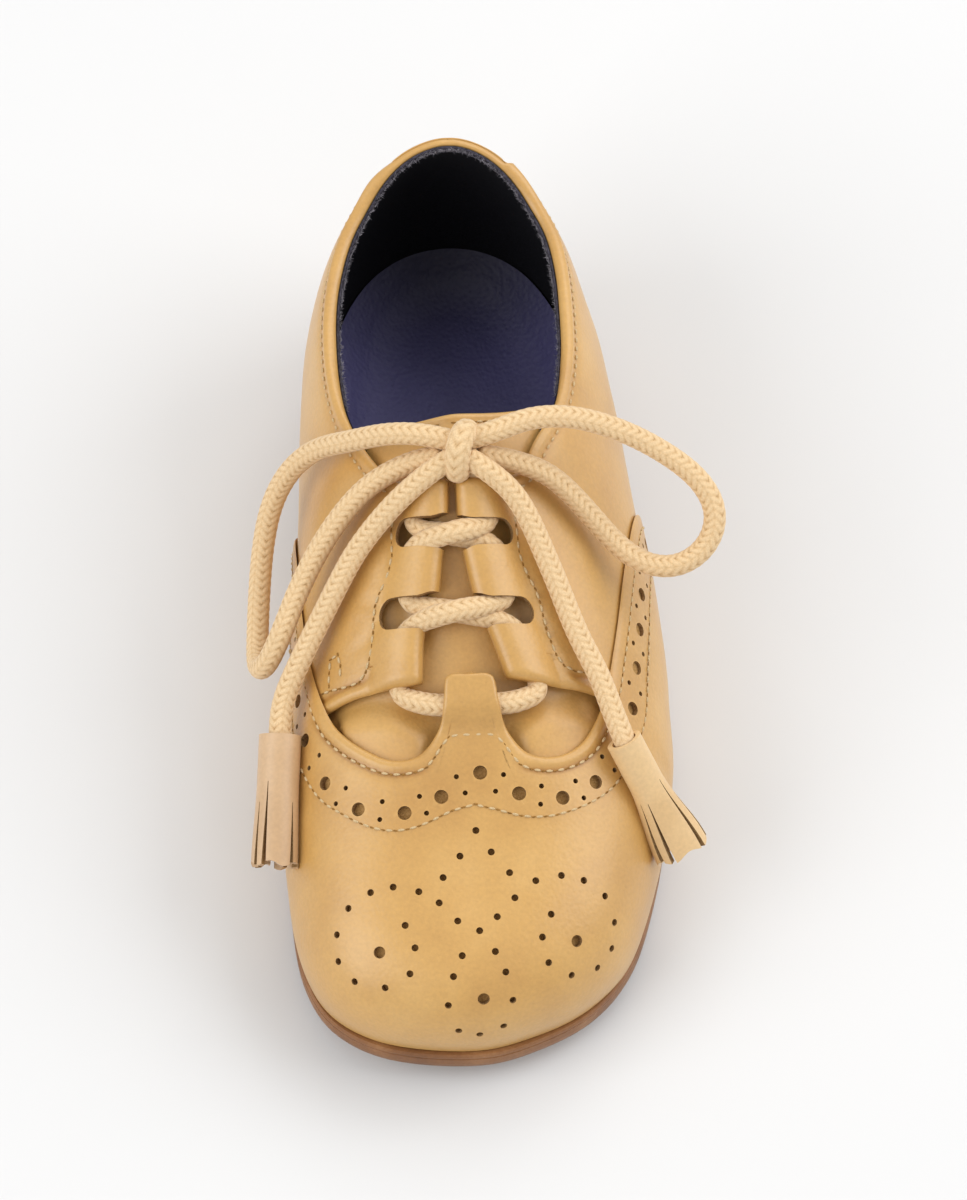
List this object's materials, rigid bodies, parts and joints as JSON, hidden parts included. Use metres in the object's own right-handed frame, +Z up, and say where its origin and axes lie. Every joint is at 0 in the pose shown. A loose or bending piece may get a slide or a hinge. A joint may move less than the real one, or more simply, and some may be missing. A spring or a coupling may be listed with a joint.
{
  "type": "child's brogue shoe, left foot",
  "caption": "Child's low lace-up brogue for the left foot: winged toe overlay with a centre lace tab, folded lace loops, a tied cord with leather tassels, thin sole and low heel.",
  "frame": {"origin": "middle of the shoe's box in plan, on the floor that the sole stands on", "axes": "+Y from toe to heel, +X toward the outer side of the foot, +Z up from the floor"},
  "size_m": [0.0747, 0.1462, 0.06],
  "materials": {
    "sole": "satin",
    "insole": "matte",
    "leather": "satin",
    "tongue_leather": "satin",
    "cord": "matte"
  },
  "bodies": {
    "root": {"outsole": "sole", "heel": "sole", "insole": "insole", "upper": "leather", "vamp_wing": "leather", "back_strap": "leather", "tongue": "tongue_leather", "lace_loop_medial_1": "leather", "lace_loop_medial_2": "leather", "lace_loop_medial_3": "leather", "lace_loop_lateral_1": "leather", "lace_loop_lateral_2": "leather", "lace_loop_lateral_3": "leather", "lace_bar_medial": "cord", "lace_bar_lateral": "cord", "lace_cross_1": "cord", "lace_cross_2": "cord", "lace_knot": "cord", "lace_bow_medial": "cord", "lace_bow_lateral": "cord", "lace_end_medial": "cord", "lace_end_lateral": "cord", "tassel_medial": "leather", "tassel_lateral": "leather"}
  },
  "joints": []
}
